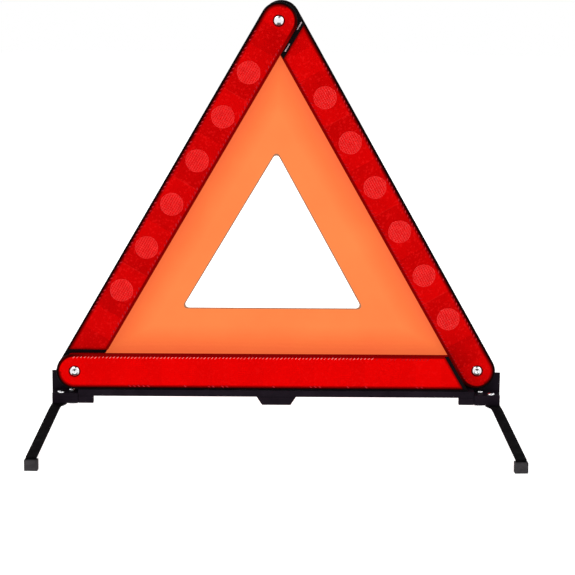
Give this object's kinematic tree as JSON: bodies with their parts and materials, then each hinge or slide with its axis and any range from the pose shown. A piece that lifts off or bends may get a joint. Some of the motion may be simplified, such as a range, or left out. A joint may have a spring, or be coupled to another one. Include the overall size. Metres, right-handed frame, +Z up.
{
  "type": "warning triangle",
  "caption": "Folding roadside warning triangle with red reflector arms, a fluorescent sheet with a triangular hole and a bar stand on swivelling legs.",
  "frame": {"origin": "middle of the rectangle of the four feet, on the ground", "axes": "+Z up, +X along the base arm to the right as seen from the red side, +Y from the red side to the rear"},
  "size_m": [0.462, 0.3498, 0.4178],
  "materials": {
    "arm_housing": "satin black moulded plastic",
    "reflector_lens": "clear red prismatic acrylic, glossy",
    "bright_fastener": "bright nickel plate",
    "fluorescent_sheet": "matt fluorescent orange coated textile",
    "stand_plastic": "satin black moulded plastic",
    "leg_steel": "black coated steel strip",
    "foot_cap": "matt dark grey rubber"
  },
  "bodies": {
    "root": {"base_arm_housing": "arm_housing", "base_arm_lens": "reflector_lens", "bottom_left_rivet": "bright_fastener", "bottom_right_rivet": "bright_fastener", "stand_bar": "stand_plastic", "left_bar_pad": "stand_plastic", "right_bar_pad": "stand_plastic", "centre_foot": "stand_plastic", "left_end_plate": "stand_plastic", "right_end_plate": "stand_plastic", "left_leg_block": "stand_plastic", "right_leg_block": "stand_plastic", "left_plate_screw": "bright_fastener", "right_plate_screw": "bright_fastener", "left_base_screw": "bright_fastener", "right_base_screw": "bright_fastener", "front_left_leg_rivet": "bright_fastener", "front_right_leg_rivet": "bright_fastener", "rear_left_leg_rivet": "bright_fastener", "rear_right_leg_rivet": "bright_fastener", "fluorescent_sheet": "fluorescent_sheet"},
    "left_arm": {"left_arm_housing": "arm_housing", "left_arm_lens": "reflector_lens", "top_snap_stud": "bright_fastener"},
    "right_arm": {"right_arm_housing": "arm_housing", "right_arm_lens": "reflector_lens", "top_snap_socket": "bright_fastener"},
    "front_left_leg": {"front_left_leg": "leg_steel", "front_left_leg_foot": "foot_cap"},
    "front_right_leg": {"front_right_leg": "leg_steel", "front_right_leg_foot": "foot_cap"},
    "rear_left_leg": {"rear_left_leg": "leg_steel", "rear_left_leg_foot": "foot_cap"},
    "rear_right_leg": {"rear_right_leg": "leg_steel", "rear_right_leg_foot": "foot_cap"}
  },
  "joints": [
    {"name": "left_arm_fold", "type": "hinge", "parent": "root", "child": "left_arm", "pos_m": [-0.2, 0, 0.052], "axis": [0, 1, 0], "range_deg": [0, 60], "deforming": ["fluorescent_sheet"]},
    {"name": "right_arm_fold", "type": "hinge", "parent": "root", "child": "right_arm", "pos_m": [0.2, 0, 0.052], "axis": [0, -1, 0], "range_deg": [0, 60]},
    {"name": "front_left_leg_swing", "type": "hinge", "parent": "root", "child": "front_left_leg", "pos_m": [-0.2135, -0.005, 0.0197], "axis": [0, 0, 1], "range_deg": [0, 90]},
    {"name": "front_right_leg_swing", "type": "hinge", "parent": "root", "child": "front_right_leg", "pos_m": [0.2135, -0.005, 0.0197], "axis": [0, 0, -1], "range_deg": [0, 90]},
    {"name": "rear_left_leg_swing", "type": "hinge", "parent": "root", "child": "rear_left_leg", "pos_m": [-0.2035, 0.005, 0.0197], "axis": [0, 0, -1], "range_deg": [0, 90]},
    {"name": "rear_right_leg_swing", "type": "hinge", "parent": "root", "child": "rear_right_leg", "pos_m": [0.2035, 0.005, 0.0197], "axis": [0, 0, 1], "range_deg": [0, 90]}
  ],
  "couplings": [
    {"joint": "right_arm_fold", "follows": "left_arm_fold", "ratio": 1}
  ]
}
